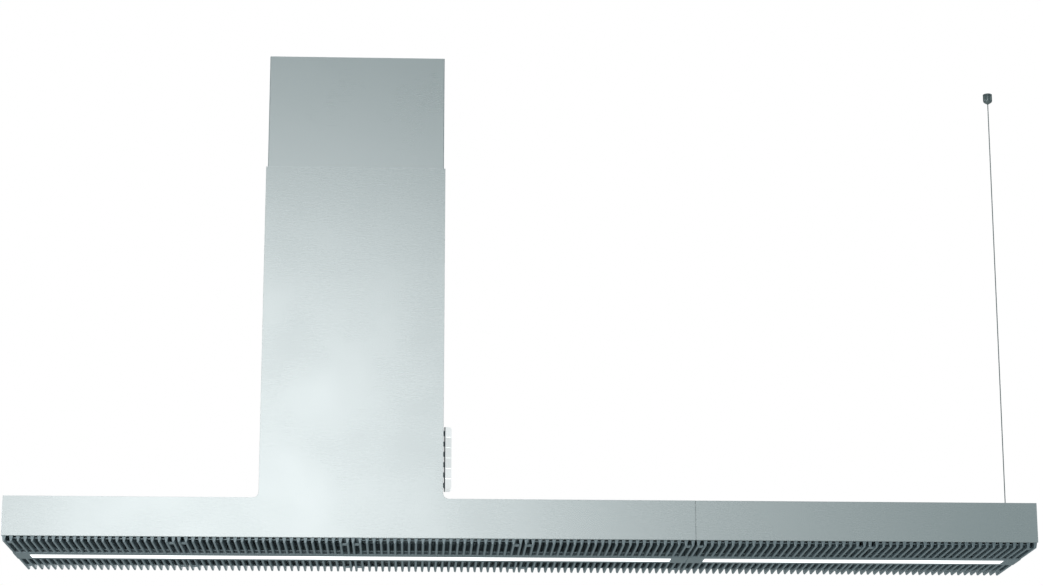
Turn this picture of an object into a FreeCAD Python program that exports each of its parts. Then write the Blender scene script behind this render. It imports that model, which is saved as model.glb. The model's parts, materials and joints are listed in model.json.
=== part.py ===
import FreeCAD, Part
import os
from math import radians, sin

# Island range hood, hung from the ceiling, in millimetres.
# Origin: on the ceiling, on the axis of the chimney. +Z is up, +X runs along the
# hood towards the extension, -Y is the front.
V = FreeCAD.Vector
TOLERANCE = 1e-6               # for telling planes and directions apart
DIAGONAL = sin(radians(45))

# ---- driving dimensions --------------------------------------------------------
# Outside
DROP = 879.0                 # ceiling to the lower edge of the panels
BODY_HEIGHT = 70.0           # height of the long body's panels
DEPTH = 320.0                # front to back
MAIN_LENGTH = 1200.0         # main module, centred on the chimney
EXTENSION_LENGTH = 600.0     # light and shelf module joined to its right end
CHIMNEY_WIDTH = 320.0        # lower chimney, square, flush with the body
UPPER_CHIMNEY_WIDTH = 314.6  # upper chimney, square, slides inside the lower one
UPPER_CHIMNEY_SHOWN = 209.0  # what shows of it above the lower chimney
UPPER_CHIMNEY_LENGTH = 290.0
SHOULDER_RADIUS = 10.0       # inner corner between the chimney and the body
SHEET = 1.0                  # skin and chassis sheet
HEM_HEIGHT = 16.0            # folded-back lower edge of the long panels
SEAM_GAP = 0.4               # reveal between main module and extension
LID_START = 180.0            # where the shoulder fold ends and the flat lid starts

# Grilles, one cassette per 300 mm of each row
CELL_LENGTH = 300.0
FINS_PER_CELL = 25
FIN_PITCH = 12.1
FIN_WIDTH = 6.5              # above the panels' lower edge
FIN_TIP_WIDTH = 4.2
FIN_DROP = 10.0              # below the panels' lower edge
FIN_INNER_END = 36.0         # distance of the fins' two ends from the centre plane
FIN_OUTER_END = 157.0
FIN_CORNER_CUT = 1.5         # chamfer of the fins' lower ends
CASSETTE_LENGTH = 297.0
CASSETTE_FRAME_HEIGHT = 3.0
CASSETTE_FRAME_WIDTH = 14.0
CASSETTE_GAP = 0.3           # below the ledge that it closes against
RAIL_WIDTH = 3.0             # rails that tie the fins together
RAIL_HEIGHT = 3.0
INNER_RAIL = (38.5, 5.5)     # start from the centre plane, raise above the fins' tips
OUTER_RAIL = (143.0, 7.5)
PULL_PLACE = 126.0           # finger bridge of each cassette, from the centre plane
PULL_WIDTH = 14.0
PULL_HEIGHT = 4.0
PULL_RAISE = 3.0             # above the fins' tips

# Grease filters, on the main module's cassettes
FILTER_LENGTH = 277.0
FILTER_THICKNESS = 7.7
FILTER_SPAN = (46.5, 143.5)  # from the centre plane
FILTER_BORDER = 8.0
FILTER_PAD_INSET = 1.5

# Light bar
BAR_HALF_WIDTH = 33.0
BAR_EDGE_RADIUS = 2.5
BAR_END_INSET = 2.5          # from the body's two ends
BAR_FLANGE_REACH = 45.0      # inner ledge of the cassettes, from the centre plane
LENS_WIDTH = 35.0
LENS_END_MARGIN = 30.0
LENS_GAP = 0.2
LENS_FLANGE = 3.0
LENS_THICKNESS = 2.0
LED_BOARD_WIDTH = 20.0
LED_BOARD_THICKNESS = 1.6
LED_SIZE = (3.5, 2.8, 0.9)
LED_PITCH = 40.0

# Chassis
LEDGE_RAISE = 13.0           # cassette ledge above the panels' lower edge
LEDGE_INNER = 145.0
CROSS_RAIL_WIDTH = 20.0
CHASSIS_HALF_DEPTH = 158.0
INTAKE_HALF = 116.0          # square opening under the chimney
PASSAGE_HALF_DEPTH = 24.0    # cable passage between the two modules
PASSAGE_HEIGHT = 20.0
JOINT_BOLT_PLACES = (-125.0, -75.0, 75.0, 125.0)
JOINT_BOLT_RAISE = 28.0      # above the cassette ledge
JOINT_BOLT_RADIUS = 3.0
JOINT_BOLT_HEAD = (5.5, 4.0)   # radius over the corners, height
JOINT_BOLT_LENGTH = 12.0

# Ceiling plate and telescopic frame
PLATE_HALF = 152.0
PLATE_THICKNESS = 3.0
PLATE_FLANGE = (2.0, 25.0)   # thickness, depth
DUCT_OPENING_RADIUS = 110.0
CEILING_BOLT_HALF = 122.5    # half the spacing of the four ceiling bolts
CEILING_BOLT_HOLE_RADIUS = 4.25
UPRIGHT_LEG = 30.0
UPRIGHT_WALL = 2.0
UPPER_UPRIGHT_END = -400.0
LOWER_UPRIGHT_TOP = -170.0
UPRIGHT_CLEARANCE = 0.3
SLOT_WIDTH = 7.0
SLOT_SPAN = (-385.0, -60.0)
FRAME_SCREW_RADIUS = 2.5
FRAME_SCREW_HEAD = (4.5, 2.5)  # radius, height
FRAME_SCREW_LENGTH = 8.0
SLIDE_SCREW_LEVELS = (-340.0, -230.0)
PLATE_SCREW_LEVEL = -14.0
FOOT_THICKNESS = 3.0

# Suspension of the extension
CABLE_PLACE = 1181.0
CABLE_RADIUS = 1.0
ANCHOR_RADIUS = 8.5
ANCHOR_HEIGHT = 19.0
ANCHOR_DOME = 7.0
GRIPPER_HEIGHT = 20.0
GRIPPER_BASE = (11.0, 3.0)     # radius, height
GRIPPER_BARREL = (6.0, 13.0)
GRIPPER_TIP_RADIUS = 3.5

# Blower
BLOWER_CENTRE_Z = -700.0
SCROLL_HALF_WIDTH = 80.0
SCROLL_START_RADIUS = 90.0
SCROLL_STEP = 7.0            # growth of the scroll's radius per quarter turn
SCROLL_WALL = 2.0
SCROLL_TOP = -600.0
PLENUM_TOP = -572.0
PLENUM_BACK = -84.0
INLET_RADIUS = 62.0
INLET_LIP = (66.0, 6.0)        # radius, reach
BLOWER_STRAP = (24.0, 3.0)     # width, thickness
BLOWER_STRAP_PLACE = 66.0
BLOWER_STRAP_HALF_SPAN = 140.0
IMPELLER_RADIUS = 80.0
IMPELLER_HALF_WIDTH = 72.0
BLADE_COUNT = 30
BLADE_DEPTH = 12.0
BLADE_THICKNESS = 1.2
BLADE_TILT = 35.0
IMPELLER_DISC = 2.0
IMPELLER_HUB_RADIUS = 11.0
SHAFT_RADIUS = 4.0
SHAFT_SPAN = (-14.0, 40.0)
SHAFT_CLEARANCE = 0.05
MOTOR_RADIUS = 40.0
MOTOR_EDGE_RADIUS = 5.0
MOTOR_ARM_TURNS = (60, 180, 300)
MOTOR_SPAN = (6.0, 84.0)
MOTOR_ARM = (14.0, 3.0)        # width, thickness
MOTOR_ARM_REACH = 76.0
COLLAR_RADIUS = 75.0
COLLAR_WALL = 2.5
COLLAR_HEIGHT = 72.0
COLLAR_FLANGE = (88.0, 3.0)    # radius, thickness
FLAP_AXIS_RAISE = 40.0       # above the plenum
FLAP_AXIS_OFFSET = 3.0       # each side of the centre plane
FLAP_RADIUS = 71.5
FLAP_THICKNESS = 1.2
FLAP_PIN_RADIUS = 1.5
FLAP_PIN_REACH = 73.9
FLAP_PIN_CLEARANCE = 0.08
FLAP_PIN_END_PLAY = 0.4
FLAP_SEAT = (4.0, 2.0)         # width, thickness
FLAP_SEAT_GAP = 0.4

# Controls
KEY_COUNT = 6
KEY_PITCH = 19.0
KEY_GAP = 0.5
KEYPAD_RAISE = 171.0         # middle of the keypad above the panels' lower edge
KEY_FACE = 176.0             # outer face of the keys, from the chimney's axis
KEY_BACK = 163.0
KEY_HALF_WIDTH = 15.0
KEY_END_RADIUS = 4.5
KEY_EDGE_CUT = 0.5
KEY_STEM = (4.0, 148.0)        # half width, inner end from the chimney's axis
KEYPAD_PLATE = (161.8, 14.0)   # face from the chimney's axis, half width
KEYPAD_BOX = (142.0, 17.0)     # inner wall from the chimney's axis, half width
KEYPAD_BOX_MARGIN = 3.0
KEYPAD_BOX_WALL = 2.0
STEM_CLEARANCE = 0.6
CONTROL_BOX_SPAN = (-430.0, -260.0)
CONTROL_BOX_HALF_DEPTH = 65.0
CONTROL_BOX_HEIGHT = 40.0
GLAND = (8.0, 14.0)            # radius, length

# ---- levels and planes worked out from them ------------------------------------
PANEL_BOTTOM = -DROP
BODY_TOP = PANEL_BOTTOM + BODY_HEIGHT
DECK_TOP = BODY_TOP - SHEET
DECK_BOTTOM = DECK_TOP - SHEET
LEDGE_BOTTOM = PANEL_BOTTOM + LEDGE_RAISE
LEDGE_TOP = LEDGE_BOTTOM + SHEET
FIN_TIP = PANEL_BOTTOM - FIN_DROP
CASSETTE_TOP = LEDGE_BOTTOM - CASSETTE_GAP
CASSETTE_FRAME_BOTTOM = CASSETTE_TOP - CASSETTE_FRAME_HEIGHT
LOWER_CHIMNEY_TOP = -UPPER_CHIMNEY_SHOWN
HALF_DEPTH = DEPTH / 2
SKIN_INSIDE = HALF_DEPTH - SHEET
CHIMNEY_HALF = CHIMNEY_WIDTH / 2
LEFT_END = -MAIN_LENGTH / 2
SEAM = MAIN_LENGTH / 2
RIGHT_END = SEAM + EXTENSION_LENGTH
UPPER_UPRIGHT_OUTER = PLATE_HALF - PLATE_FLANGE[0]
LOWER_UPRIGHT_OUTER = UPPER_UPRIGHT_OUTER - UPRIGHT_WALL - UPRIGHT_CLEARANCE
FRAME_SCREW_Y = UPPER_UPRIGHT_OUTER - UPRIGHT_LEG / 2
MAIN_CELLS = int(MAIN_LENGTH / CELL_LENGTH)
EXTENSION_CELLS = int(EXTENSION_LENGTH / CELL_LENGTH)
KEYPAD_CENTRE_Z = PANEL_BOTTOM + KEYPAD_RAISE

X_AXIS, Y_AXIS, Z_AXIS = V(1, 0, 0), V(0, 1, 0), V(0, 0, 1)
ORIGIN = V(0, 0, 0)


# ---- helpers -------------------------------------------------------------------
def block(x, y, z):
    """A box from its (low, high) spans."""
    low = V(min(x), min(y), min(z))
    return Part.makeBox(max(x) - low.x, max(y) - low.y, max(z) - low.z, low)


def rod(start, axis, radius, length):
    return Part.makeCylinder(radius, length, start, axis)


def tube(start, axis, outer, inner, length):
    return rod(start, axis, outer, length).cut(rod(start, axis, inner, length))


def joined(shapes):
    return shapes[0].fuse(shapes[1:]).removeSplitter()


def group(shapes):
    """Separate solids that share one node."""
    return Part.makeCompound(shapes)


def flipped(shape, axis):
    """The mirror image across the plane through the origin, normal to axis."""
    return shape.mirror(ORIGIN, axis)


def corner_copies(shape):
    """The shape in all four quadrants of the plan."""
    right = [shape, flipped(shape, Y_AXIS)]
    return right + [flipped(each, X_AXIS) for each in right]


def outline(points, depth):
    """A closed flat outline through the points, pushed along the vector depth."""
    return Part.Face(Part.makePolygon(points + points[:1])).extrude(depth)


def edges_at(shape, axis, keep):
    """Straight edges along axis whose middle passes the test keep."""
    found = []
    for edge in shape.Edges:
        if edge.Curve.TypeId != "Part::GeomLine":
            continue
        if abs(abs(edge.tangentAt(edge.FirstParameter).dot(axis)) - 1) > TOLERANCE:
            continue
        if keep(edge.CenterOfMass):
            found.append(edge)
    return found


def save(name, shape):
    if not shape.isValid() or not shape.Solids:
        raise RuntimeError("bad shape: " + name)
    shape.exportStep("parts/" + name + ".step")


# ---- ceiling plate, telescopic frame and suspension ----------------------------
def ceiling_plate():
    side = (-PLATE_HALF, PLATE_HALF)
    wall, depth = PLATE_FLANGE
    inner = (-PLATE_HALF + wall, PLATE_HALF - wall)
    plate = block(side, side, (-depth, 0)).cut(block(inner, inner, (-depth, -PLATE_THICKNESS)))
    plate = plate.cut(rod(V(0, 0, -depth), Z_AXIS, DUCT_OPENING_RADIUS, depth))
    place = V(CEILING_BOLT_HALF, CEILING_BOLT_HALF, -PLATE_THICKNESS)
    plate = plate.cut(corner_copies(rod(place, Z_AXIS, CEILING_BOLT_HOLE_RADIUS, PLATE_THICKNESS)))
    wall_start = V(inner[1], FRAME_SCREW_Y, PLATE_SCREW_LEVEL)
    return plate.cut(corner_copies(rod(wall_start, X_AXIS, FRAME_SCREW_RADIUS, wall)))


def frame_screws(face, levels):
    """Pan-head screws with their heads' undersides at face, four at each level."""
    radius, height = FRAME_SCREW_HEAD
    screws = []
    for level in levels:
        seat = V(face, FRAME_SCREW_Y, level)
        shank = rod(seat - X_AXIS * FRAME_SCREW_LENGTH, X_AXIS, FRAME_SCREW_RADIUS, FRAME_SCREW_LENGTH)
        head = rod(seat, X_AXIS, radius, height)
        head = head.makeFillet(height / 2, [head.Edges[0]])
        screws += corner_copies(shank.fuse(head).removeSplitter())
    return group(screws)


def angle_bar(outer, z):
    """An L-section upright in the +X +Y corner, its outer corner at outer."""
    legs = (outer - UPRIGHT_LEG, outer)
    inside = (outer - UPRIGHT_LEG, outer - UPRIGHT_WALL)
    return block(legs, legs, z).cut(block(inside, inside, z))


def upper_uprights():
    bar = angle_bar(UPPER_UPRIGHT_OUTER, (UPPER_UPRIGHT_END, -PLATE_THICKNESS))
    across = (FRAME_SCREW_Y - SLOT_WIDTH / 2, FRAME_SCREW_Y + SLOT_WIDTH / 2)
    wall = (UPPER_UPRIGHT_OUTER - UPRIGHT_WALL, UPPER_UPRIGHT_OUTER)
    bar = bar.cut(block(wall, across, SLOT_SPAN))
    hole = rod(V(wall[0], FRAME_SCREW_Y, PLATE_SCREW_LEVEL), X_AXIS, FRAME_SCREW_RADIUS, UPRIGHT_WALL)
    return group(corner_copies(bar.cut(hole)))


def lower_uprights():
    outer = LOWER_UPRIGHT_OUTER
    bar = angle_bar(outer, (DECK_TOP, LOWER_UPRIGHT_TOP))
    legs = (outer - UPRIGHT_LEG, outer)
    foot = block(legs, legs, (DECK_TOP, DECK_TOP + FOOT_THICKNESS))
    holes = [rod(V(outer - UPRIGHT_WALL, FRAME_SCREW_Y, level), X_AXIS, FRAME_SCREW_RADIUS, UPRIGHT_WALL)
             for level in SLIDE_SCREW_LEVELS]
    return group(corner_copies(bar.fuse(foot).removeSplitter().cut(holes)))


def ceiling_anchor():
    """A turned cap: a short cylinder with a domed lower end."""
    edge = -(ANCHOR_HEIGHT - ANCHOR_DOME)
    tip = -ANCHOR_HEIGHT
    bulge = V(ANCHOR_RADIUS * DIAGONAL, 0, edge - ANCHOR_DOME * DIAGONAL)
    sides = [
        Part.LineSegment(ORIGIN, V(ANCHOR_RADIUS, 0, 0)),
        Part.LineSegment(V(ANCHOR_RADIUS, 0, 0), V(ANCHOR_RADIUS, 0, edge)),
        Part.Arc(V(ANCHOR_RADIUS, 0, edge), bulge, V(CABLE_RADIUS, 0, tip)),
        Part.LineSegment(V(CABLE_RADIUS, 0, tip), V(0, 0, tip)),
        Part.LineSegment(V(0, 0, tip), ORIGIN),
    ]
    profile = Part.Face(Part.Wire([side.toShape() for side in sides]))
    return profile.revolve(ORIGIN, Z_AXIS, 360).translated(V(CABLE_PLACE, 0, 0))


def suspension_cable():
    bottom = BODY_TOP + GRIPPER_HEIGHT
    return rod(V(CABLE_PLACE, 0, bottom), Z_AXIS, CABLE_RADIUS, -ANCHOR_HEIGHT - bottom)


def cable_gripper():
    base_radius, base_height = GRIPPER_BASE
    barrel_radius, barrel_height = GRIPPER_BARREL
    foot = V(CABLE_PLACE, 0, BODY_TOP)
    waist = foot + Z_AXIS * base_height
    neck = waist + Z_AXIS * barrel_height
    tip_height = GRIPPER_HEIGHT - base_height - barrel_height
    tip = Part.makeCone(barrel_radius, GRIPPER_TIP_RADIUS, tip_height, neck, Z_AXIS)
    return joined([rod(foot, Z_AXIS, base_radius, base_height),
                   rod(waist, Z_AXIS, barrel_radius, barrel_height), tip])


# ---- chimneys and skin of the body ---------------------------------------------
def upper_chimney():
    outside = UPPER_CHIMNEY_WIDTH / 2
    inside = outside - SHEET
    z = (-UPPER_CHIMNEY_LENGTH, 0)
    hollow = block((-inside, inside), (-inside, inside), z)
    return block((-outside, outside), (-outside, outside), z).cut(hollow)


def front_panel():
    """One flush sheet: chimney front and body front, with rounded inner corners."""
    right = SEAM - SEAM_GAP / 2
    corners = [(LEFT_END, PANEL_BOTTOM), (right, PANEL_BOTTOM), (right, BODY_TOP),
               (CHIMNEY_HALF, BODY_TOP), (CHIMNEY_HALF, LOWER_CHIMNEY_TOP),
               (-CHIMNEY_HALF, LOWER_CHIMNEY_TOP), (-CHIMNEY_HALF, BODY_TOP), (LEFT_END, BODY_TOP)]
    sheet = outline([V(x, -HALF_DEPTH, z) for x, z in corners], V(0, SHEET, 0))
    inner_corners = edges_at(sheet, Y_AXIS, lambda at: abs(abs(at.x) - CHIMNEY_HALF) < SHEET
                             and abs(at.z - BODY_TOP) < SHEET)
    sheet = sheet.makeFillet(SHOULDER_RADIUS, inner_corners)
    return sheet.fuse(hem(LEFT_END + SHEET, right)).removeSplitter()


def hem(x_low, x_high):
    """The second layer of a front panel's folded lower edge."""
    inner = -SKIN_INSIDE
    return block((x_low, x_high), (inner, inner + SHEET), (PANEL_BOTTOM, PANEL_BOTTOM + HEM_HEIGHT))


def chimney_side():
    """Right side of the lower chimney, folded outwards over the body's shoulder."""
    face, back = CHIMNEY_HALF, CHIMNEY_HALF - SHEET
    centre = V(face + SHOULDER_RADIUS, -SKIN_INSIDE, BODY_TOP + SHOULDER_RADIUS)
    bend = V(-DIAGONAL, 0, -DIAGONAL)

    def at(x, z):
        return V(x, -SKIN_INSIDE, z)

    outer_arc = Part.Arc(at(face, centre.z), centre + bend * SHOULDER_RADIUS, at(centre.x, BODY_TOP))
    inner_arc = Part.Arc(at(centre.x, DECK_TOP), centre + bend * (SHOULDER_RADIUS + SHEET),
                         at(back, centre.z))
    sides = [
        Part.LineSegment(at(face, LOWER_CHIMNEY_TOP), at(face, centre.z)), outer_arc,
        Part.LineSegment(at(centre.x, BODY_TOP), at(LID_START, BODY_TOP)),
        Part.LineSegment(at(LID_START, BODY_TOP), at(LID_START, DECK_TOP)),
        Part.LineSegment(at(LID_START, DECK_TOP), at(centre.x, DECK_TOP)), inner_arc,
        Part.LineSegment(at(back, centre.z), at(back, LOWER_CHIMNEY_TOP)),
        Part.LineSegment(at(back, LOWER_CHIMNEY_TOP), at(face, LOWER_CHIMNEY_TOP)),
    ]
    section = Part.Face(Part.Wire([side.toShape() for side in sides]))
    return section.extrude(V(0, 2 * SKIN_INSIDE, 0))


def keypad_window():
    half = KEYPAD_PLATE[1]
    tall = KEY_COUNT * KEY_PITCH / 2
    return block((CHIMNEY_HALF - SHEET, CHIMNEY_HALF), (-half, half),
                 (KEYPAD_CENTRE_Z - tall, KEYPAD_CENTRE_Z + tall))


def body_lid(x_low, x_high):
    return block((x_low, x_high), (-SKIN_INSIDE, SKIN_INSIDE), (DECK_TOP, BODY_TOP))


def end_cap(face):
    """Flat end of the body, with its outer face at x = face."""
    inside = face - SHEET if face > 0 else face + SHEET
    return block((face, inside), (-SKIN_INSIDE, SKIN_INSIDE), (PANEL_BOTTOM, DECK_TOP))


def extension_shell():
    """One folded sheet: front, top and back of the extension."""
    x = (SEAM + SEAM_GAP / 2, RIGHT_END)
    outside = block(x, (-HALF_DEPTH, HALF_DEPTH), (PANEL_BOTTOM, BODY_TOP))
    skin = outside.cut(block(x, (-SKIN_INSIDE, SKIN_INSIDE), (PANEL_BOTTOM, DECK_TOP)))
    fold = hem(x[0], x[1] - SHEET)
    return joined([skin, fold, flipped(fold, Y_AXIS)])


# ---- chassis -------------------------------------------------------------------
def chassis(x_low, x_high, cells):
    """An upturned tray with a ledge and cross rails that the cassettes close against."""
    walls = (-CHASSIS_HALF_DEPTH, CHASSIS_HALF_DEPTH)
    inner = (-CHASSIS_HALF_DEPTH + SHEET, CHASSIS_HALF_DEPTH - SHEET)
    tray = block((x_low, x_high), walls, (LEDGE_BOTTOM, DECK_TOP))
    tray = tray.cut(block((x_low + SHEET, x_high - SHEET), inner, (LEDGE_BOTTOM, DECK_BOTTOM)))
    ledge = (LEDGE_BOTTOM, LEDGE_TOP)
    strip = block((x_low, x_high), (LEDGE_INNER, CHASSIS_HALF_DEPTH), ledge)
    parts = [tray, strip, flipped(strip, Y_AXIS)]
    for start, stop in rail_spans(x_low, x_high, cells):
        rail = block((start, stop), (BAR_FLANGE_REACH, LEDGE_INNER), ledge)
        parts += [rail, flipped(rail, Y_AXIS)]
    bar_notch = block((x_low, x_high), (-BAR_FLANGE_REACH, BAR_FLANGE_REACH), ledge)
    return joined(parts).cut(bar_notch)


def rail_spans(x_low, x_high, cells):
    """The x spans of the cross rails: half ones at the two ends, full ones between."""
    module_start = round(x_low / CELL_LENGTH) * CELL_LENGTH
    spans = []
    for boundary in range(cells + 1):
        middle = module_start + boundary * CELL_LENGTH
        start = max(middle - CROSS_RAIL_WIDTH / 2, x_low)
        stop = min(middle + CROSS_RAIL_WIDTH / 2, x_high)
        spans.append((start, stop))
    return spans


def module_joint_cutters(x_low):
    """The cable passage and the bolt holes through one module's end wall."""
    x = (x_low, x_low + SHEET)
    middle = (LEDGE_TOP + DECK_BOTTOM) / 2
    passage = block(x, (-PASSAGE_HALF_DEPTH, PASSAGE_HALF_DEPTH),
                    (middle - PASSAGE_HEIGHT / 2, middle + PASSAGE_HEIGHT / 2))
    holes = [rod(V(x_low, y, LEDGE_BOTTOM + JOINT_BOLT_RAISE), X_AXIS, JOINT_BOLT_RADIUS, SHEET)
             for y in JOINT_BOLT_PLACES]
    return [passage] + holes


def main_chassis():
    intake = (-INTAKE_HALF, INTAKE_HALF)
    tray = chassis(LEFT_END + SHEET, SEAM, MAIN_CELLS)
    return tray.cut([block(intake, intake, (DECK_BOTTOM, DECK_TOP))] + module_joint_cutters(SEAM - SHEET))


def extension_chassis():
    return chassis(SEAM, RIGHT_END - SHEET, EXTENSION_CELLS).cut(module_joint_cutters(SEAM))


def hexagon(centre, axis, radius, height):
    """A hexagonal prism along X, for a bolt head or a nut."""
    first = V(0, 0, radius)
    turn = FreeCAD.Rotation(axis, 60)
    points = [first]
    for _ in range(5):
        points.append(turn.multVec(points[-1]))
    return outline([centre + point for point in points], axis * height)


def joint_bolts():
    """Bolts with their nuts through the two modules' end walls."""
    radius, height = JOINT_BOLT_HEAD
    bolts = []
    for y in JOINT_BOLT_PLACES:
        level = LEDGE_BOTTOM + JOINT_BOLT_RAISE
        shank = rod(V(SEAM - SHEET, y, level), X_AXIS, JOINT_BOLT_RADIUS, JOINT_BOLT_LENGTH)
        head = hexagon(V(SEAM - SHEET - height, y, level), X_AXIS, radius, height)
        nut = hexagon(V(SEAM + SHEET, y, level), X_AXIS, radius, height)
        bolts.append(joined([head, shank, nut]))
    return group(bolts)


# ---- grilles, filters and light bars -------------------------------------------
def fin():
    """One fin of the back row at x = 0: straight above, tapered to a round tip below."""
    half, tip = FIN_WIDTH / 2, FIN_TIP_WIDTH / 2
    arc_level = FIN_TIP + tip

    def at(x, z):
        return V(x, FIN_INNER_END, z)

    left = [at(-tip, arc_level), at(-half, PANEL_BOTTOM), at(-half, CASSETTE_FRAME_BOTTOM)]
    right = [V(-point.x, point.y, point.z) for point in reversed(left)]
    corners = left + right
    edges = [Part.makeLine(first, second) for first, second in zip(corners, corners[1:])]
    edges.append(Part.Arc(corners[-1], at(0, FIN_TIP), corners[0]).toShape())
    body = Part.Face(Part.Wire(edges)).extrude(V(0, FIN_OUTER_END - FIN_INNER_END, 0))
    cut = FIN_CORNER_CUT
    corner = [V(-half, FIN_OUTER_END - cut, FIN_TIP), V(-half, FIN_OUTER_END, FIN_TIP),
              V(-half, FIN_OUTER_END, FIN_TIP + cut)]
    return body.cut(outline(corner, V(FIN_WIDTH, 0, 0)))


def fin_places():
    first = -(FINS_PER_CELL - 1) / 2 * FIN_PITCH
    return [first + index * FIN_PITCH for index in range(FINS_PER_CELL)]


def back_grille():
    """A cassette of the back row, centred on x = 0."""
    places = fin_places()
    one = fin()
    parts = [one.translated(V(x, 0, 0)) for x in places]
    half = CASSETTE_LENGTH / 2
    level = (CASSETTE_FRAME_BOTTOM, CASSETTE_TOP)
    frame = block((-half, half), (FIN_INNER_END, FIN_OUTER_END), level)
    side = CASSETTE_FRAME_WIDTH
    window = block((-half + side, half - side), (FIN_INNER_END + side, FIN_OUTER_END - side), level)
    parts.append(frame.cut(window))
    for start, rise in (INNER_RAIL, OUTER_RAIL):
        rail_z = (FIN_TIP + rise, FIN_TIP + rise + RAIL_HEIGHT)
        parts.append(block((places[1], places[-2]), (start, start + RAIL_WIDTH), rail_z))
    pull_y = (PULL_PLACE - PULL_WIDTH / 2, PULL_PLACE + PULL_WIDTH / 2)
    pull_z = (FIN_TIP + PULL_RAISE, FIN_TIP + PULL_RAISE + PULL_HEIGHT)
    for ends in (places[:2], places[-2:]):
        parts.append(block(ends, pull_y, pull_z))
    return joined(parts)


def back_filter():
    """A framed pad of knitted metal that rests on its cassette, centred on x = 0."""
    half = FILTER_LENGTH / 2
    z = (CASSETTE_TOP, CASSETTE_TOP + FILTER_THICKNESS)
    whole = block((-half, half), FILTER_SPAN, z)
    pad_x = (-half + FILTER_BORDER, half - FILTER_BORDER)
    pad_y = (FILTER_SPAN[0] + FILTER_BORDER, FILTER_SPAN[1] - FILTER_BORDER)
    recesses = [block(pad_x, pad_y, (z[0], z[0] + FILTER_PAD_INSET)),
                block(pad_x, pad_y, (z[1] - FILTER_PAD_INSET, z[1]))]
    return whole.cut(recesses)


def cell_centres(module_start, cells):
    return [module_start + (index + 0.5) * CELL_LENGTH for index in range(cells)]


def light_bar(x_low, x_high, lens):
    """A closed sheet channel with a slot for the lens and an inner ledge on each side."""
    across = (-BAR_HALF_WIDTH, BAR_HALF_WIDTH)
    outside = block((x_low, x_high), across, (FIN_TIP, LEDGE_TOP))
    lower_edges = edges_at(outside, X_AXIS, lambda at: abs(at.z - FIN_TIP) < SHEET)
    outside = outside.makeFillet(BAR_EDGE_RADIUS, lower_edges)
    inside_y = (-BAR_HALF_WIDTH + SHEET, BAR_HALF_WIDTH - SHEET)
    inside = block((x_low + SHEET, x_high - SHEET), inside_y, (FIN_TIP + SHEET, LEDGE_BOTTOM))
    lower_edges = edges_at(inside, X_AXIS, lambda at: abs(at.z - FIN_TIP) < 2 * SHEET)
    inside = inside.makeFillet(BAR_EDGE_RADIUS - SHEET, lower_edges)
    slot = block(lens, (-LENS_WIDTH / 2, LENS_WIDTH / 2), (FIN_TIP, FIN_TIP + SHEET))
    flange = block((x_low, x_high), (BAR_HALF_WIDTH, BAR_FLANGE_REACH), (LEDGE_BOTTOM, LEDGE_TOP))
    shell = outside.cut([inside, slot])
    return joined([shell, flange, flipped(flange, Y_AXIS)])


def lens_span(module_start, module_end):
    return (module_start + LENS_END_MARGIN, module_end - LENS_END_MARGIN)


def diffuser(lens):
    """An opal strip flush with the bar's lower face, with a flange that rests on it."""
    strip_x = (lens[0] + LENS_GAP, lens[1] - LENS_GAP)
    strip_y = LENS_WIDTH / 2 - LENS_GAP
    flange_x = (lens[0] - LENS_FLANGE, lens[1] + LENS_FLANGE)
    flange_y = LENS_WIDTH / 2 + LENS_FLANGE
    strip = block(strip_x, (-strip_y, strip_y), (FIN_TIP, FIN_TIP + SHEET))
    flange_z = (FIN_TIP + SHEET, FIN_TIP + SHEET + LENS_THICKNESS)
    return joined([strip, block(flange_x, (-flange_y, flange_y), flange_z)])


def led_board(lens):
    """A board on the roof of the light bar with its row of LEDs."""
    half = LED_BOARD_WIDTH / 2
    bottom = LEDGE_BOTTOM - LED_BOARD_THICKNESS
    parts = [block(lens, (-half, half), (bottom, LEDGE_BOTTOM))]
    length, width, height = LED_SIZE
    count = int((lens[1] - lens[0]) / LED_PITCH)
    first = (lens[0] + lens[1]) / 2 - (count - 1) / 2 * LED_PITCH
    for index in range(count):
        x = first + index * LED_PITCH
        parts.append(block((x - length / 2, x + length / 2), (-width / 2, width / 2),
                           (bottom - height, bottom)))
    return joined(parts)


# ---- blower and outlet ---------------------------------------------------------
def scroll(inset, x_half, top):
    """The volute and its upright outlet: three quarter arcs that grow, then straight up."""
    radius = SCROLL_START_RADIUS - inset
    centre = V(-x_half, 0, BLOWER_CENTRE_Z)
    direction = V(0, 0, 1)
    eighth = FreeCAD.Rotation(X_AXIS, 45)
    start = centre + direction * radius
    edges = []
    for _ in range(3):
        middle = eighth.multVec(direction)
        end = eighth.multVec(middle)
        arc = Part.Arc(centre + direction * radius, centre + middle * radius, centre + end * radius)
        edges.append(arc.toShape())
        direction = end
        last = centre + end * radius
        centre = centre - end * SCROLL_STEP
        radius += SCROLL_STEP
    near = V(-x_half, inset, top)
    far = V(-x_half, last.y, top)
    lip = V(-x_half, inset, start.z)
    edges += [Part.makeLine(last, far), Part.makeLine(far, near), Part.makeLine(near, lip)]
    if inset:
        edges.append(Part.makeLine(lip, start))
    return Part.Face(Part.Wire(edges)).extrude(V(2 * x_half, 0, 0)), last.y


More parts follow.
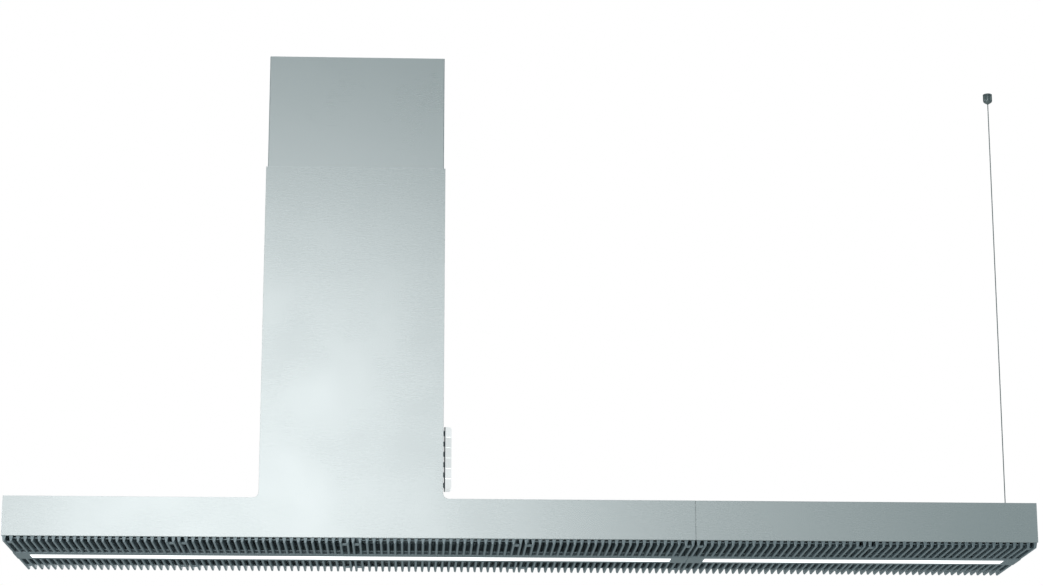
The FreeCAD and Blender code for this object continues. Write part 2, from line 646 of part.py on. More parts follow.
def blower_housing():
    half, wall = SCROLL_HALF_WIDTH, SCROLL_WALL
    volute, side = scroll(0, half, SCROLL_TOP)
    hollow, _ = scroll(wall, half - wall, SCROLL_TOP)
    plenum = block((-half, half), (PLENUM_BACK, side), (SCROLL_TOP, PLENUM_TOP))
    room = block((-half + wall, half - wall), (PLENUM_BACK + wall, side - wall),
                 (SCROLL_TOP + wall, PLENUM_TOP - wall))
    throat = block((-half + wall, half - wall), (wall, side - wall), (SCROLL_TOP, SCROLL_TOP + wall))
    mouth = rod(V(0, 0, PLENUM_TOP - wall), Z_AXIS, COLLAR_RADIUS - COLLAR_WALL, wall)
    inlet = rod(V(-half, 0, BLOWER_CENTRE_Z), X_AXIS, INLET_RADIUS, 2 * half)
    lip_radius, reach = INLET_LIP
    lip = tube(V(half - wall - reach, 0, BLOWER_CENTRE_Z), X_AXIS, lip_radius, INLET_RADIUS, reach)
    strap_width, strap_height = BLOWER_STRAP
    straps = []
    for x in (-BLOWER_STRAP_PLACE, BLOWER_STRAP_PLACE):
        span = (x - strap_width / 2, x + strap_width / 2)
        reach_y = (-BLOWER_STRAP_HALF_SPAN, BLOWER_STRAP_HALF_SPAN)
        straps.append(block(span, reach_y, (DECK_TOP, DECK_TOP + strap_height)))
        straps.append(block(span, (-strap_height, strap_height), (DECK_TOP, BLOWER_CENTRE_Z)))
    shell = joined([volute, plenum] + straps).cut([hollow, room, throat, mouth, inlet])
    return joined([shell, lip, flipped(lip, X_AXIS)])


def blower_motor():
    """A can motor inside the impeller, held by three arms across the right inlet."""
    start, stop = MOTOR_SPAN
    at = V(start, 0, BLOWER_CENTRE_Z)
    can = rod(at, X_AXIS, MOTOR_RADIUS, stop - start)
    can = can.makeFillet(MOTOR_EDGE_RADIUS, [can.Edges[0]])
    width, thickness = MOTOR_ARM
    arm = block((SCROLL_HALF_WIDTH, SCROLL_HALF_WIDTH + thickness), (-width / 2, width / 2),
                (BLOWER_CENTRE_Z, BLOWER_CENTRE_Z + MOTOR_ARM_REACH))
    arms = []
    for turn in MOTOR_ARM_TURNS:
        arms.append(arm.copy().rotate(at, X_AXIS, turn))
    bore = rod(at, X_AXIS, SHAFT_RADIUS + SHAFT_CLEARANCE, SHAFT_SPAN[1] - start + SHEET)
    return joined([can] + arms).cut(bore)


def impeller():
    """A double drum of tilted blades on a middle disc, hub and shaft."""
    at = V(0, 0, BLOWER_CENTRE_Z)
    half_disc = IMPELLER_DISC / 2
    inner = IMPELLER_RADIUS - BLADE_DEPTH
    disc = rod(at - X_AXIS * half_disc, X_AXIS, IMPELLER_RADIUS - BLADE_DEPTH / 2, IMPELLER_DISC)
    shaft = rod(V(SHAFT_SPAN[0], 0, BLOWER_CENTRE_Z), X_AXIS, SHAFT_RADIUS,
                SHAFT_SPAN[1] - SHAFT_SPAN[0])
    hub = rod(V(SHAFT_SPAN[0] + IMPELLER_DISC, 0, BLOWER_CENTRE_Z), X_AXIS, IMPELLER_HUB_RADIUS,
              -SHAFT_SPAN[0] - IMPELLER_DISC)
    ring = tube(at - X_AXIS * IMPELLER_HALF_WIDTH, X_AXIS, IMPELLER_RADIUS, inner, IMPELLER_DISC)
    parts = [disc, hub, shaft, ring, flipped(ring, X_AXIS)]
    blade = block((-IMPELLER_HALF_WIDTH, IMPELLER_HALF_WIDTH),
                  (-BLADE_THICKNESS / 2, BLADE_THICKNESS / 2), (-BLADE_DEPTH / 2, BLADE_DEPTH / 2))
    blade.rotate(ORIGIN, X_AXIS, BLADE_TILT)
    blade.translate(at + Z_AXIS * (IMPELLER_RADIUS - BLADE_DEPTH / 2))
    for index in range(BLADE_COUNT):
        parts.append(blade.copy().rotate(at, X_AXIS, index * 360 / BLADE_COUNT))
    return joined(parts)


def flap_axis(side):
    """A point on the hinge of one flap: side is -1 for the front, 1 for the back."""
    return V(0, side * FLAP_AXIS_OFFSET, PLENUM_TOP + FLAP_AXIS_RAISE)


def outlet_collar():
    base = V(0, 0, PLENUM_TOP)
    flange_radius, flange_height = COLLAR_FLANGE
    inner = COLLAR_RADIUS - COLLAR_WALL
    seat_width, seat_height = FLAP_SEAT
    seat_top = flap_axis(1).z - FLAP_PIN_RADIUS - FLAP_SEAT_GAP
    seat = tube(V(0, 0, seat_top - seat_height), Z_AXIS, inner + COLLAR_WALL / 2,
                inner - seat_width, seat_height)
    collar = joined([tube(base, Z_AXIS, flange_radius, inner, flange_height),
                     tube(base, Z_AXIS, COLLAR_RADIUS, inner, COLLAR_HEIGHT), seat])
    holes = []
    for side in (-1, 1):
        reach = FLAP_PIN_REACH + FLAP_PIN_END_PLAY
        start = flap_axis(side) - X_AXIS * reach
        holes.append(rod(start, X_AXIS, FLAP_PIN_RADIUS + FLAP_PIN_CLEARANCE, 2 * reach))
    return collar.cut(holes)


def back_flap():
    """Half a disc on a hinge pin; it lies closed and swings up in the air stream."""
    axis = flap_axis(1)
    low = axis - Z_AXIS * FLAP_THICKNESS / 2
    disc = rod(V(0, 0, low.z), Z_AXIS, FLAP_RADIUS, FLAP_THICKNESS)
    keep = block((-FLAP_RADIUS, FLAP_RADIUS), (axis.y, FLAP_RADIUS), (low.z, low.z + FLAP_THICKNESS))
    pin = rod(axis - X_AXIS * FLAP_PIN_REACH, X_AXIS, FLAP_PIN_RADIUS, 2 * FLAP_PIN_REACH)
    return joined([disc.common(keep), pin])


# ---- controls ------------------------------------------------------------------
def key_centre_z(number):
    """Key 1 is the topmost."""
    return KEYPAD_CENTRE_Z + ((KEY_COUNT + 1) / 2 - number) * KEY_PITCH


def keypad_base():
    """A dark plate on the chimney's side, on the box that holds the switches."""
    face, plate_half = KEYPAD_PLATE
    inner, box_half = KEYPAD_BOX
    tall = KEY_COUNT * KEY_PITCH / 2
    wall_inside = CHIMNEY_HALF - SHEET
    plate = block((wall_inside, face), (-plate_half, plate_half),
                  (KEYPAD_CENTRE_Z - tall, KEYPAD_CENTRE_Z + tall))
    tall += KEYPAD_BOX_MARGIN
    box = block((inner, wall_inside), (-box_half, box_half),
                (KEYPAD_CENTRE_Z - tall, KEYPAD_CENTRE_Z + tall))
    tall -= KEYPAD_BOX_WALL
    box_half -= KEYPAD_BOX_WALL
    room = block((inner + KEYPAD_BOX_WALL, wall_inside - KEYPAD_BOX_WALL), (-box_half, box_half),
                 (KEYPAD_CENTRE_Z - tall, KEYPAD_CENTRE_Z + tall))
    hole = KEY_STEM[0] + STEM_CLEARANCE
    holes = []
    for number in range(1, KEY_COUNT + 1):
        z = key_centre_z(number)
        holes.append(block((wall_inside - KEYPAD_BOX_WALL, face), (-hole, hole), (z - hole, z + hole)))
    return joined([plate, box]).cut([room] + holes)


def key(number):
    """A push key; the outer corners of the first and the last key are rounded."""
    half_height = (KEY_PITCH - KEY_GAP) / 2
    z = key_centre_z(number)
    cap = block((KEY_BACK, KEY_FACE), (-KEY_HALF_WIDTH, KEY_HALF_WIDTH), (z - half_height, z + half_height))
    ends = {1: half_height, KEY_COUNT: -half_height}
    if number in ends:
        outer_z = z + ends[number]
        corner = edges_at(cap, Y_AXIS, lambda at: abs(at.z - outer_z) < TOLERANCE
                          and at.x > KEY_FACE - TOLERANCE)
        cap = cap.makeFillet(KEY_END_RADIUS, corner)
    rim = [edge for edge in cap.Edges if abs(edge.CenterOfMass.x - KEY_FACE) < TOLERANCE]
    cap = cap.makeChamfer(KEY_EDGE_CUT, rim)
    stem_half, stem_end = KEY_STEM
    stem = block((stem_end, KEY_BACK), (-stem_half, stem_half), (z - stem_half, z + stem_half))
    return joined([cap, stem])


def control_box():
    """Electronics under the deck, with the gland that the mains lead comes in by."""
    depth = CONTROL_BOX_HALF_DEPTH
    bottom = DECK_BOTTOM - CONTROL_BOX_HEIGHT
    box = block(CONTROL_BOX_SPAN, (-depth, depth), (bottom, DECK_BOTTOM))
    radius, length = GLAND
    gland = rod(V(CONTROL_BOX_SPAN[1], 0, bottom + CONTROL_BOX_HEIGHT / 2), X_AXIS, radius, length)
    return joined([box, gland])


# ---- all the nodes -------------------------------------------------------------
def build():
    os.makedirs("parts", exist_ok=True)

    save("ceiling_plate", ceiling_plate())
    save("upper_uprights", upper_uprights())
    save("upper_frame_screws", frame_screws(PLATE_HALF, (PLATE_SCREW_LEVEL,)))
    save("ceiling_anchor", ceiling_anchor())
    save("suspension_cable", suspension_cable())
    save("upper_chimney", upper_chimney())

    save("lower_uprights", lower_uprights())
    screw_face = UPPER_UPRIGHT_OUTER + UPRIGHT_CLEARANCE
    save("lower_frame_screws", frame_screws(screw_face, SLIDE_SCREW_LEVELS))
    save("cable_gripper", cable_gripper())

    front = front_panel()
    save("front_panel", front)
    save("back_panel", flipped(front, Y_AXIS))
    side = chimney_side()
    save("chimney_right_side", side.cut(keypad_window()))
    save("chimney_left_side", flipped(side, X_AXIS))
    save("right_lid", body_lid(LID_START, SEAM - SEAM_GAP / 2))
    save("left_lid", body_lid(LEFT_END, -LID_START))
    save("left_end_cap", end_cap(LEFT_END))
    save("extension_shell", extension_shell())
    save("right_end_cap", end_cap(RIGHT_END))

    save("main_chassis", main_chassis())
    save("extension_chassis", extension_chassis())
    save("joint_bolts", joint_bolts())

    main_lens = lens_span(LEFT_END, SEAM)
    extension_lens = lens_span(SEAM, RIGHT_END)
    save("main_light_bar", light_bar(LEFT_END + BAR_END_INSET, SEAM - SEAM_GAP / 2, main_lens))
    save("extension_light_bar", light_bar(SEAM + SEAM_GAP / 2, RIGHT_END - BAR_END_INSET,
                                          extension_lens))
    save("main_diffuser", diffuser(main_lens))
    save("extension_diffuser", diffuser(extension_lens))
    save("led_boards", group([led_board(main_lens), led_board(extension_lens)]))

    grille = back_grille()
    mesh = back_filter()
    centres = cell_centres(LEFT_END, MAIN_CELLS) + cell_centres(SEAM, EXTENSION_CELLS)
    for number, x in enumerate(centres, start=1):
        move = V(x, 0, 0)
        save("back_grille_%d" % number, grille.translated(move))
        save("front_grille_%d" % number, flipped(grille, Y_AXIS).translated(move))
        if number <= MAIN_CELLS:
            save("back_filter_%d" % number, mesh.translated(move))
            save("front_filter_%d" % number, flipped(mesh, Y_AXIS).translated(move))

    save("blower_housing", blower_housing())
    save("blower_motor", blower_motor())
    save("impeller", impeller())
    save("outlet_collar", outlet_collar())
    flap = back_flap()
    save("back_flap", flap)
    save("front_flap", flipped(flap, Y_AXIS))

    save("control_box", control_box())
    save("keypad_base", keypad_base())
    for number in range(1, KEY_COUNT + 1):
        save("key_%d" % number, key(number))


build()
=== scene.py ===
import json
from math import cos, pi, radians, sin, tau

import bmesh
import bpy
from mathutils import Matrix, Vector

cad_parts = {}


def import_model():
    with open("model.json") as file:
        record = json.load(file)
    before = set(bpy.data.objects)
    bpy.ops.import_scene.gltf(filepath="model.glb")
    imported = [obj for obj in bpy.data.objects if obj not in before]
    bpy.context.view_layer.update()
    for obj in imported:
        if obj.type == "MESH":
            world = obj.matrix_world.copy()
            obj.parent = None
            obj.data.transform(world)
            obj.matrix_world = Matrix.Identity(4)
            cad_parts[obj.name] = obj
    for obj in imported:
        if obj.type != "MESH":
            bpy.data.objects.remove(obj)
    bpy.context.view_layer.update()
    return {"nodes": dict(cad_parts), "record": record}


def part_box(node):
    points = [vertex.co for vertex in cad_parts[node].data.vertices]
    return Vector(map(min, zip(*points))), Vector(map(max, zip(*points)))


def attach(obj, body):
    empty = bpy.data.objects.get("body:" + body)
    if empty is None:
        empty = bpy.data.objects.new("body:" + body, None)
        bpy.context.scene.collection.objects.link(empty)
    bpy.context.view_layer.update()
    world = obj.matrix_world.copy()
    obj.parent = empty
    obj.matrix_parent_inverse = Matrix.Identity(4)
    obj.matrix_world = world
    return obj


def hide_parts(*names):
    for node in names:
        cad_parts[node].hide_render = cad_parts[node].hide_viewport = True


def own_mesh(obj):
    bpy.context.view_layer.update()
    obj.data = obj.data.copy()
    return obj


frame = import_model()

# Looks of an island range hood, in metres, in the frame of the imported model:
# z = 0 on the ceiling at the chimney's axis, +X towards the extension, -Y the front.
MM = 0.001

# ---- places read from the frame --------------------------------------------------
PANEL_LOW, PANEL_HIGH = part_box("front_panel")
SHELL_LOW, SHELL_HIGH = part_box("extension_shell")
UPPER_LOW, UPPER_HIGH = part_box("upper_chimney")
GRILLE_LOW, GRILLE_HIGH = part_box("back_grille_1")

HALF_DEPTH = -PANEL_LOW.y
PANEL_BOTTOM = PANEL_LOW.z
BODY_TOP = SHELL_HIGH.z
CHIMNEY_TOP = PANEL_HIGH.z
CHIMNEY_HALF = HALF_DEPTH          # the chimney is square and flush with the body
FIN_TIP = GRILLE_LOW.z
CASSETTE_TOP = GRILLE_HIGH.z

# ---- thin details that the frame's boxes do not give -----------------------------
SHEET = 0.9 * MM                   # skin sheet; the rest of the CAD's 1 mm is play
FOLD = 1.0 * MM                    # outer radius of a folded edge
HEM = 16 * MM                      # height of the folded-back lower edges
SHOULDER = 10 * MM                 # inner corner between the chimney and the body
EDGE = 0.4 * MM                    # broken edges of cut sheet
CORNER_BEND = 1.6 * MM             # vertical bends of the upper chimney
TUBE_SLIT = 0.3 * MM               # butt joint of the upper chimney, at the back

FINS = 25
FIN_PITCH = 12.1 * MM
FIN_HALF = 3.25 * MM
TIP_RADIUS = 2.1 * MM
FIN_OUTER_CORNER = 1.6 * MM
FIN_INNER_CORNER = 1.0 * MM
CASSETTE_FRAME = (14 * MM, 3 * MM)  # width, height
RAIL = 3 * MM
INNER_RAIL = (38.5 * MM, 5.5 * MM)   # start from the centre plane, raise above the fins' tips
OUTER_RAIL = (143 * MM, 7.5 * MM)
PULL_CENTRE = 126 * MM
PULL = (14 * MM, 4 * MM)           # width, height
PULL_RAISE = 3 * MM

BAR_HALF = 33 * MM
BAR_BEND = 2.5 * MM
LENS_HALF = 17.5 * MM
LENS_GAP = 0.2 * MM
LENS_FLANGE = (3 * MM, 2 * MM)     # reach, thickness
LENS_CORNER = 0.4 * MM
BAR_SHEET = 1.0 * MM               # the lens's flange rests this far above the fins' tips

KEY_CORNER = 4.5 * MM              # outer corners of the first and last key
KEY_EDGE = 0.7 * MM
KEY_COUNT = 6
KEY_BACK = 163 * MM                # from the chimney's axis
KEY_GAP_SHADE_END = 165 * MM           # where the painted shade of the gap at the back of the keys ends
KEY_BACK_CORNER = 0.15 * MM
KEY_STEM_HALF = 4 * MM
KEYPAD_PLATE_HALF = 14 * MM
KEYPAD_BOX_MARGIN = 3 * MM

CABLE_RADIUS = 1.0 * MM
STRANDS = 6
LAY_LENGTH = 13 * MM               # one turn of a strand round the core
STEPS_PER_TURN = 8
WIRE_SIDES = 6

LID_TURN = 9 * MM                  # turned-down long edges of the body's flat tops
FILTER_BORDER = 8 * MM
FILTER_WAVE = (3.2 * MM, 1.1 * MM)  # length, height over the middle
FILTER_WIRE = 0.35 * MM
WELD = 0.001 * MM
EDGE_ANGLE = 40                    # degrees; sharper edges are broken
SMOOTH_ANGLE = 35                  # degrees; flatter edges are shaded smooth

# ---- light -----------------------------------------------------------------------
LED_GLOW = 1.4
# painted shade: the colour of the shadowed gap between the chimney's side and the back of the keys
KEY_GAP_SHADE_COLOUR = (0.03, 0.04, 0.045)


# ---- mesh helpers ----------------------------------------------------------------
def along_x(u, v, w):
    return Vector((w, u, v))


def along_y(u, v, w):
    return Vector((u, w, v))


def along_z(u, v, w):
    return Vector((u, v, w))


def arc(centre, radius, start, stop, steps):
    """Points on an arc of a flat outline, from angle start to stop in degrees."""
    turns = [radians(start + (stop - start) * step / steps) for step in range(steps + 1)]
    return [(centre[0] + radius * cos(turn), centre[1] + radius * sin(turn)) for turn in turns]


def rounded_box(u, v, radius, steps=4):
    """A closed outline over the spans u and v, with round corners."""
    (left, right), (low, high) = u, v
    points = arc((right - radius, high - radius), radius, 0, 90, steps)
    points += arc((left + radius, high - radius), radius, 90, 180, steps)
    points += arc((left + radius, low + radius), radius, 180, 270, steps)
    return points + arc((right - radius, low + radius), radius, 270, 360, steps)


def never(row, column):
    return False


def sheet(bm, outline, place, stations, skip=never):
    """An open strip along the outline, through all stations. skip leaves out a cell."""
    rows = [[bm.verts.new(place(u, v, w)) for u, v in outline] for w in stations]
    for row, (near, far) in enumerate(zip(rows, rows[1:])):
        for column in range(len(outline) - 1):
            if not skip(row, column):
                bm.faces.new((near[column], near[column + 1], far[column + 1], far[column]))


def prism(bm, outline, place, start, stop):
    """A closed solid: the closed outline pushed from start to stop."""
    near, far = [[bm.verts.new(place(u, v, w)) for u, v in outline] for w in (start, stop)]
    for index in range(len(outline)):
        after = (index + 1) % len(outline)
        bm.faces.new((near[index], near[after], far[after], far[index]))
    bm.faces.new(near)
    bm.faces.new(far)


def loft(bm, rings):
    """A closed solid through rings of points, capped at its two ends."""
    made = [[bm.verts.new(point) for point in ring] for ring in rings]
    for near, far in zip(made, made[1:]):
        for index in range(len(near)):
            after = (index + 1) % len(near)
            bm.faces.new((near[index], near[after], far[after], far[index]))
    bm.faces.new(made[0])
    bm.faces.new(made[-1])


def picture_frame(bm, x, y, section):
    """A mitred rectangular frame. section is a closed outline of (distance inwards, z)."""
    corners = [(x[0], y[0], 1, 1), (x[1], y[0], -1, 1), (x[1], y[1], -1, -1), (x[0], y[1], 1, -1)]
    rings = [[bm.verts.new((at_x + to_x * d, at_y + to_y * d, z)) for d, z in section]
             for at_x, at_y, to_x, to_y in corners]
    for near, far in zip(rings, rings[1:] + rings[:1]):
        for index in range(len(section)):
            after = (index + 1) % len(section)
            bm.faces.new((near[index], near[after], far[after], far[index]))


def lathe(bm, profile, centre, steps=40):
    """Turns (radius, z) points about a vertical axis; radius 0 closes an end."""
    rings = []
    for radius, z in profile:
        count = steps if radius else 1
        rings.append([bm.verts.new(centre + Vector((radius * cos(tau * k / count),
                                                    radius * sin(tau * k / count), z)))
                      for k in range(count)])
    for near, far in zip(rings, rings[1:]):
        for k in range(steps):
            corners = [near[k % len(near)], near[(k + 1) % len(near)],
                       far[(k + 1) % len(far)], far[k % len(far)]]
            bm.faces.new(list(dict.fromkeys(corners)))


def soften(obj, width, segments=2):
    """Breaks the sharp edges and keeps the flat faces flat."""
    bevel = obj.modifiers.new("edges", "BEVEL")
    bevel.width = width
    bevel.segments = segments
    bevel.limit_method = "ANGLE"
    bevel.angle_limit = radians(EDGE_ANGLE)
    flat = obj.modifiers.new("flat", "WEIGHTED_NORMAL")
    flat.keep_sharp = True


def piece(name, bm, material, body, nodes=(), thickness=0.0, outward=None, edge=0.0):
    """Makes the bmesh an object of the hood that stands for the CAD nodes named."""
    bmesh.ops.remove_doubles(bm, verts=bm.verts, dist=1e-7)
    bmesh.ops.recalc_face_normals(bm, faces=bm.faces)
    if outward is not None:
        largest = max(bm.faces, key=lambda face: face.calc_area())
        if largest.normal.dot(Vector(outward)) < 0:
            bmesh.ops.reverse_faces(bm, faces=bm.faces)
    mesh = bpy.data.meshes.new(name)
    bm.to_mesh(mesh)
    bm.free()
    return place_mesh(name, mesh, material, body, nodes, thickness, edge)


def place_mesh(name, mesh, material, body, nodes, thickness=0.0, edge=0.0):
    mesh.materials.clear()
    mesh.materials.append(material)
    mesh.polygons.foreach_set("use_smooth", [True] * len(mesh.polygons))
    if not edge:
        mesh.set_sharp_from_angle(angle=radians(SMOOTH_ANGLE))
    obj = bpy.data.objects.new(name, mesh)
    bpy.context.scene.collection.objects.link(obj)
    if thickness:
        solid = obj.modifiers.new("sheet", "SOLIDIFY")
        solid.thickness = thickness
        solid.offset = -1
        solid.use_even_offset = True
    if edge:
        soften(obj, edge)
    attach(obj, body)
    if nodes:
        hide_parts(*nodes)
    return obj


# ---- materials -------------------------------------------------------------------
def noise(tree, coords, scale, detail=3.0, stretch=(1, 1, 1)):
    """Noise of the given scale per metre, stretched by the factors of stretch."""
    mapping = tree.nodes.new("ShaderNodeMapping")
    mapping.inputs["Scale"].default_value = [scale * factor for factor in stretch]
    tree.links.new(coords, mapping.inputs["Vector"])
    texture = tree.nodes.new("ShaderNodeTexNoise")
    texture.inputs["Scale"].default_value = 1.0
    texture.inputs["Detail"].default_value = detail
    tree.links.new(mapping.outputs["Vector"], texture.inputs["Vector"])
    return texture.outputs["Fac"]


def cells(tree, coords, scale):
    """A flat random value for each Voronoi cell, as on zinc spangle."""
    texture = tree.nodes.new("ShaderNodeTexVoronoi")
    texture.inputs["Scale"].default_value = scale
    tree.links.new(coords, texture.inputs["Vector"])
    split = tree.nodes.new("ShaderNodeSeparateColor")
    tree.links.new(texture.outputs["Color"], split.inputs["Color"])
    return split.outputs["Red"]


def remap(tree, value, low, high):
    node = tree.nodes.new("ShaderNodeMapRange")
    node.inputs["From Min"].default_value = 0.25
    node.inputs["From Max"].default_value = 0.75
    node.inputs["To Min"].default_value = low
    node.inputs["To Max"].default_value = high
    tree.links.new(value, node.inputs["Value"])
    return node.outputs["Result"]


def combined(tree, first, second, operation="ADD"):
    node = tree.nodes.new("ShaderNodeMath")
    node.operation = operation
    tree.links.new(first, node.inputs[0])
    tree.links.new(second, node.inputs[1])
    return node.outputs["Value"]


def tinted(tree, factor, dark, light):
    node = tree.nodes.new("ShaderNodeMix")
    node.data_type = "RGBA"
    node.inputs["A"].default_value = (*dark, 1)
    node.inputs["B"].default_value = (*light, 1)
    tree.links.new(factor, node.inputs["Factor"])
    return node.outputs["Result"]


def scaled(colour, factor):
    return [min(channel * factor, 1.0) for channel in colour]


def finish(name, colour, metallic, roughness, fine, stretch=(1, 1, 1), grain=0.05, bump=0.1,
           depth=0.02 * MM, broad=6.0, smudge=0.04, contrast=0.06, spangle=0.0, coat=0.0, glow=0.0):
    """A finish with fine grain in colour, gloss and relief, and broad uneven gloss.

    fine and broad are features per metre. grain and smudge are how far they move the
    roughness, contrast how far the grain moves the colour.
    """
    material = bpy.data.materials.new(name)
    material.use_nodes = True
    tree = material.node_tree
    shader = tree.nodes["Principled BSDF"]
    shader.inputs["Metallic"].default_value = metallic
    if coat:
        shader.inputs["Coat Weight"].default_value = coat
        shader.inputs["Coat Roughness"].default_value = 0.12
    if glow:
        shader.inputs["Emission Color"].default_value = (1.0, 1.0, 1.0, 1)
        shader.inputs["Emission Strength"].default_value = glow
    coords = tree.nodes.new("ShaderNodeTexCoord").outputs["Object"]
    lines = cells(tree, coords, spangle) if spangle else noise(tree, coords, fine, 4, stretch)
    clouds = noise(tree, coords, broad, 2)
    gloss = combined(tree, remap(tree, lines, roughness - grain, roughness + grain),
                     remap(tree, clouds, -smudge, smudge))
    tree.links.new(gloss, shader.inputs["Roughness"])
    colours = tinted(tree, remap(tree, combined(tree, lines, clouds, "MULTIPLY"), -0.6, 1.4),
                     scaled(colour, 1 - contrast), scaled(colour, 1 + contrast))
    tree.links.new(colours, shader.inputs["Base Color"])
    relief = tree.nodes.new("ShaderNodeBump")
    relief.inputs["Strength"].default_value = bump
    relief.inputs["Distance"].default_value = depth
    tree.links.new(noise(tree, coords, fine, 4, stretch), relief.inputs["Height"])
    tree.links.new(relief.outputs["Normal"], shader.inputs["Normal"])
    return material


def paint_gap_shade(material, level):
    """Paints what lies behind the plane x = level dark: painted shade of the gap between the chimney's
    side and the back of a key.
    """
    tree = material.node_tree
    shader = tree.nodes["Principled BSDF"]
    coords = tree.nodes.new("ShaderNodeTexCoord").outputs["Object"]
    split = tree.nodes.new("ShaderNodeSeparateXYZ")
    tree.links.new(coords, split.inputs["Vector"])
    front = tree.nodes.new("ShaderNodeMath")
    front.operation = "GREATER_THAN"
    front.inputs[1].default_value = level
    tree.links.new(split.outputs["X"], front.inputs[0])
    for socket in ("Base Color", "Emission Color"):
        colour = tinted(tree, front.outputs["Value"], KEY_GAP_SHADE_COLOUR, (1.0, 1.0, 1.0))
        if shader.inputs[socket].is_linked:
            mix = colour.node
            tree.links.new(shader.inputs[socket].links[0].from_socket, mix.inputs["B"])
        tree.links.new(colour, shader.inputs[socket])


def lit_opal(name):
    """Opal plastic lit from behind, a little dimmer towards the strip's two long edges."""
    material = finish(name, (0.95, 0.96, 0.96), 0.0, 0.35, 900, grain=0.04, bump=0.05)
    tree = material.node_tree
    shader = tree.nodes["Principled BSDF"]
    coords = tree.nodes.new("ShaderNodeTexCoord").outputs["Object"]
    split = tree.nodes.new("ShaderNodeSeparateXYZ")
    tree.links.new(coords, split.inputs["Vector"])
    distance = tree.nodes.new("ShaderNodeMath")
    distance.operation = "ABSOLUTE"
    tree.links.new(split.outputs["Y"], distance.inputs[0])
    fade = tree.nodes.new("ShaderNodeMapRange")
    fade.inputs["From Min"].default_value = LENS_HALF * 0.6
    fade.inputs["From Max"].default_value = LENS_HALF
    fade.inputs["To Min"].default_value = LED_GLOW
    fade.inputs["To Max"].default_value = LED_GLOW * 0.75
    tree.links.new(distance.outputs["Value"], fade.inputs["Value"])
    tree.links.new(fade.outputs["Result"], shader.inputs["Emission Strength"])
    shader.inputs["Emission Color"].default_value = (1.0, 1.0, 1.0, 1)
    return material


LONG = (0.012, 1, 1)               # grain stretched along X
DEEP = (1, 0.012, 1)               # grain stretched along Y
STEEL = (0.72, 0.745, 0.745)

BRUSHED = {"grain": 0.012, "bump": 0.012, "depth": 0.01 * MM, "smudge": 0.02, "contrast": 0.012}

STEEL_X = finish("brushed_steel_x", STEEL, 1.0, 0.27, 2600, LONG, **BRUSHED)
STEEL_Y = finish("brushed_steel_y", STEEL, 1.0, 0.27, 2600, DEEP, **BRUSHED)
TUBE_STEEL = finish("tube_steel", STEEL, 1.0, 0.29, 2600, LONG, **BRUSHED)
BAR = finish("bar_steel", (0.33, 0.38, 0.40), 1.0, 0.32, 900, LONG, grain=0.05, bump=0.12)
ZINC_SHEET = finish("galvanised_sheet", (0.56, 0.58, 0.60), 1.0, 0.42, 700, grain=0.09,
                    spangle=90, contrast=0.12, bump=0.06)
ZINC = finish("zinc_plate", (0.72, 0.72, 0.70), 1.0, 0.30, 2500, contrast=0.08)
WIRE = finish("wire_rope", (0.55, 0.58, 0.58), 1.0, 0.30, 2500, contrast=0.12)
FITTING = finish("satin_fitting", (0.26, 0.30, 0.30), 1.0, 0.26, 2500, (1, 1, 0.05), contrast=0.08)
GRILLE = finish("grille_metal", (0.37, 0.43, 0.455), 0.85, 0.36, 1200, DEEP, grain=0.06, bump=0.15,
                contrast=0.10)
MESH = finish("filter_mesh", (0.50, 0.51, 0.51), 1.0, 0.38, 1400, grain=0.10, bump=0.8,
              depth=0.4 * MM, contrast=0.3)
OPAL = lit_opal("lit_opal")
BOARD = finish("led_board", (0.88, 0.88, 0.86), 0.0, 0.45, 1500)
BLACK_PLASTIC = finish("blower_plastic", (0.030, 0.032, 0.034), 0.0, 0.42, 1800, bump=0.5,
                       depth=0.05 * MM, contrast=0.15)
GREY_PLASTIC = finish("impeller_plastic", (0.10, 0.105, 0.11), 0.0, 0.38, 1800, bump=0.3,
                      contrast=0.10)
ENAMEL = finish("motor_enamel", (0.035, 0.037, 0.040), 0.3, 0.30, 700, bump=0.3, contrast=0.12)
COLLAR_PLASTIC = finish("collar_plastic", (0.11, 0.115, 0.12), 0.0, 0.45, 1800, bump=0.4,
                        contrast=0.10)
# painted light: both key finishes glow a little with light of their own, to make the keys brighter than
# the studio lights make them
KEY_WHITE = finish("key_white", (0.88, 0.90, 0.90), 0.0, 0.30, 2200, grain=0.03, bump=0.12,
                   contrast=0.02, coat=0.3, glow=0.58)
KEY_GREY = finish("key_grey", (0.62, 0.68, 0.67), 0.0, 0.30, 2200, grain=0.03, bump=0.12,
                  contrast=0.03, coat=0.3, glow=0.55)
# painted shade on the back of every key, where it stands in the gap at the chimney's side
paint_gap_shade(KEY_WHITE, KEY_GAP_SHADE_END)
paint_gap_shade(KEY_GREY, KEY_GAP_SHADE_END)
KEYPAD_DARK = finish("keypad_dark", (0.040, 0.048, 0.052), 0.0, 0.40, 2000, bump=0.3, contrast=0.1)


# ---- skin ------------------------------------------------------------------------
def hem_profile(side):
    """(y, z) of a long panel's lower edge, from its outer face round and up inside."""
    face = side * HALF_DEPTH
    centre = (face - side * FOLD, PANEL_BOTTOM + FOLD)
    start = 0 if side > 0 else 180
    turned = arc(centre, FOLD, start, start - side * 180, 6)
    return turned + [(face - side * 2 * FOLD, PANEL_BOTTOM + HEM)]


